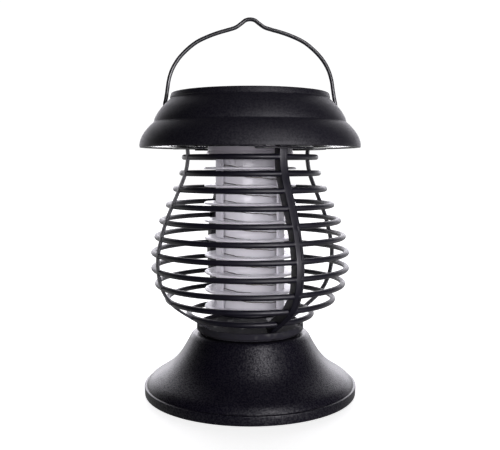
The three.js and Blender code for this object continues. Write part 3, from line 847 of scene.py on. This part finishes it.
def core_cap():
    """Frosted cap at the top of the core, stepped where it seats in the hat."""
    cap_r, z0, z1 = high("core_top_cap").x, low("core_top_cap").z, high("core_top_cap").z
    inner_r, lead_hole_r, top_thickness, step_z = 18.0, 6, 1.9, 146.2
    cap = turned("core_cap", rounded([
        (inner_r, z0, 0.3), (cap_r - 0.3, z0, 0.5), (cap_r, z0 + 1.4, 0.4), (cap_r, step_z, 0.3),
        (cap_r - 0.5, step_z + 0.3, 0.2), (cap_r - 0.5, z1, 0.4), (lead_hole_r, z1, 0.3),
        (lead_hole_r, z1 - top_thickness, 0.3), (inner_r, z1 - top_thickness, 0.3)]), 128)
    # Its darker colour is painted shade from the hat.
    return finished(cap, SHADED_CAP_PLASTIC, "head", "frosted_plastic", "core_top_cap")


def core_foot():
    """Black dish that closes the core from below."""
    foot_r, z0, z1 = high("core_base").x, low("core_base").z, high("core_base").z
    inner_r, floor_z = 20.4, 51.7
    foot = turned("core_foot", rounded([
        (0, z0 + 0.3), (9, z0 + 0.3, 0.3), (9.6, z0, 0.3), (22.2, z0, 1.4), (foot_r, z0 + 1.4, 0.6),
        (foot_r, z1, 0.4), (inner_r, z1), (inner_r, floor_z), (0, floor_z)]), 128)
    return finished(foot, CAGE_PLASTIC, "head", "cage_plastic", "core_base")


# ---------------------------------------------------------------- bail
def wire_bail():
    """Wire bail: legs turned in at the pivots, shouldered arch and a raised hump for a hook."""
    wire_r, peak_z = 1.2, 224.1
    right = [(44.4, PIVOT_Z), (46.6, PIVOT_Z), (49.3, 172.05), (50.6, 173.0), (50.75, 174.7),
             (50.2, 177.2), (49.3, 182.4), (48.4, 188.2), (46.7, 193.9), (43.6, 199.6), (38.9, 205.1),
             (32.0, 210.7), (24.8, 214.2), (18.0, 216.6), (12.6, 218.1), (8.4, 219.5), (5.2, 221.7),
             (2.6, 223.6)]
    points = [(x, 0, z) for x, z in right] + [(0, 0, peak_z)] + [(-x, 0, z) for x, z in right[::-1]]
    wire = tube("wire_bail", spline(points, 6), wire_r, 16)
    return finished(wire, BAIL_COAT, "bail", "bail_wire", "bail")


# ---------------------------------------------------------------- what the hat and core hide
INNER_FINISHES = {
    "battery_holder": CAGE_PLASTIC, "battery_cell": BATTERY_SLEEVE, "circuit_board": LAMINATE,
    "hv_transformer": COIL_TAPE, "hv_capacitor": CAPACITOR_SLEEVE, "power_switch": CAGE_PLASTIC,
    "led_board": LAMP_WHITE, "led_strip": LAMP_WHITE,
}


def finish_inner_nodes():
    """Gives a material to the CAD nodes that are carried over unchanged."""
    for node, material in INNER_FINISHES.items():
        mesh = frame["nodes"][node].data
        mesh.materials.clear()
        mesh.materials.append(material)


# ---------------------------------------------------------------- stage
def camera():
    """Eye level just under the brim, a little over 0.4 m in front, looking slightly down."""
    downward = 4.80      # degrees
    data = bpy.data.cameras.new("camera")
    data.sensor_width = 36
    data.lens = 51.9
    data.clip_start = 0.01
    view = bpy.data.objects.new("camera", data)
    view.location = (-0.05 * MM, -433.9 * MM, 138.8 * MM)
    view.rotation_euler = (radians(90 - downward), 0, 0)
    bpy.context.scene.collection.objects.link(view)
    bpy.context.scene.camera = view


def world():
    """White behind the object for the camera; for light, a studio that is dim round the camera."""
    levels = ((0.0, 1.0), (0.09, 0.6), (0.165, 0.1), (0.26, 0.006), (0.75, 0.001))
    studio_strength, backdrop_strength = 5.0, 1.05
    scene_world = bpy.data.worlds.new("studio")
    bpy.context.scene.world = scene_world
    scene_world.use_nodes = True
    tree = scene_world.node_tree
    tree.nodes.clear()
    direction = add_node(tree, "ShaderNodeTexCoord").outputs["Generated"]
    facing = add_node(tree, "ShaderNodeVectorMath", {0: direction, 1: (0, -1, 0)},
                      operation="DOT_PRODUCT").outputs["Value"]
    spread = add_node(tree, "ShaderNodeMapRange", {"From Min": -1, "Value": facing})
    ramp = add_node(tree, "ShaderNodeValToRGB", {"Fac": spread.outputs["Result"]})
    stops = ramp.color_ramp.elements
    stops[0].position, stops[1].position = levels[0][0], levels[-1][0]
    for position, _ in levels[1:-1]:
        stops.new(position)
    for stop, (_, level) in zip(stops, levels):
        stop.color = (level, level * 0.98, level * 1.05, 1)
    studio = add_node(tree, "ShaderNodeBackground",
                      {"Color": ramp.outputs["Color"], "Strength": studio_strength})
    backdrop = add_node(tree, "ShaderNodeBackground",
                        {"Color": (1, 1, 1, 1), "Strength": backdrop_strength})
    seen = add_node(tree, "ShaderNodeLightPath").outputs["Is Camera Ray"]
    mix = add_node(tree, "ShaderNodeMixShader",
                   {0: seen, 1: studio.outputs[0], 2: backdrop.outputs[0]})
    add_node(tree, "ShaderNodeOutputWorld", {"Surface": mix.outputs[0]})


def softbox(name, azimuth, elevation, distance, size, power, only):
    """Oval area light of size (width, height) aimed at the middle of the lantern, for some pieces."""
    data = bpy.data.lights.new(name, "AREA")
    data.shape = "ELLIPSE"
    data.size, data.size_y = size
    data.energy = power
    data.color = (1, 0.97, 1.03)
    lamp = bpy.data.objects.new(name, data)
    target = Vector((0, 0, 0.1))
    direction = polar(cos(radians(elevation)), azimuth, sin(radians(elevation)))
    lamp.location = target + direction * distance
    lamp.rotation_euler = direction.to_track_quat("Z", "Y").to_euler()
    bpy.context.scene.collection.objects.link(lamp)
    receivers = bpy.data.collections.new(f"{name}_receivers")
    for piece in only:
        receivers.objects.link(piece)
    lamp.light_linking.receiver_collection = receivers


def floor():
    """Pale sweep: white to the eye, with a painted contact shade round the foot, but in reflections as
    dim in front as the studio there.
    """
    shade_r, light_r = 0.068, 0.16       # metres from the axis: painted contact shade, the glow weakest by the foot, then full light
    front_y, back_y = -0.08, 0.12        # metres: where its mirror image is darkest and brightest
    sheet = rod("floor", 4000, 0, -5, 96)
    f = Finish("paper_sweep", (0.9, 0.9, 0.91), 0.8)
    f.bump(f.noise(4), 0.02)
    distance = f.node("ShaderNodeVectorMath", {0: f.place}, operation="LENGTH").outputs["Value"]
    f.surface.inputs["Emission Color"].default_value = (1, 1, 1, 1)
    # Painted contact shade: the floor's glow is dimmer near the foot.
    f.drive("Emission Strength", f.remap(distance, shade_r, light_r, 0.86, 1.0))
    _, y, _ = f.axes()
    seen = f.node("ShaderNodeLightPath").outputs["Is Camera Ray"]
    mirrored = f.node("ShaderNodeEmission", {"Strength": f.remap(y, front_y, back_y, 0.04, 0.9)})
    mix = f.node("ShaderNodeMixShader", {0: seen, 1: mirrored.outputs[0], 2: f.surface.outputs[0]})
    f.tree.links.new(mix.outputs[0], f.tree.nodes["Material Output"].inputs["Surface"])
    sheet.data.materials.append(f.material)


# ---------------------------------------------------------------- the scene
camera()
world()
bpy.context.scene.view_settings.view_transform = "Standard"

stand_bell()
stand_plate()
for i in range(1, 4):
    screw(f"stand_screw_{i}", "stand")
for i in range(1, 5):
    foot_pad(f"rubber_foot_{i}")
    screw(f"hat_screw_{i}", "head")
catch_tray()
cage_moulding()
hat_shell()
hat_underside()
panel_surround()
solar_panel()
bail_lug("bail_lug_left")
bail_lug("bail_lug_right")
push_button()
grid_wire("grid_wire_live", "winding_live", 0.0)
grid_wire("grid_wire_ground", "winding_ground", pi)
core_foot()
core = [core_moulding(), lamp_diffuser(), core_cap()]
wire_bail()
finish_inner_nodes()

lantern = [piece for piece in bpy.context.scene.objects if piece.type == "MESH"]
black_parts = [piece for piece in lantern if piece not in core]
softbox("key", azimuth=28, elevation=42, distance=1.0, size=(0.3, 0.3), power=2.4, only=lantern)
softbox("low_fill", azimuth=28, elevation=2, distance=1.0, size=(0.7, 0.25), power=9, only=black_parts)
softbox("core_fill", azimuth=-8, elevation=12, distance=0.8, size=(0.6, 0.6), power=6.4, only=core)
floor()
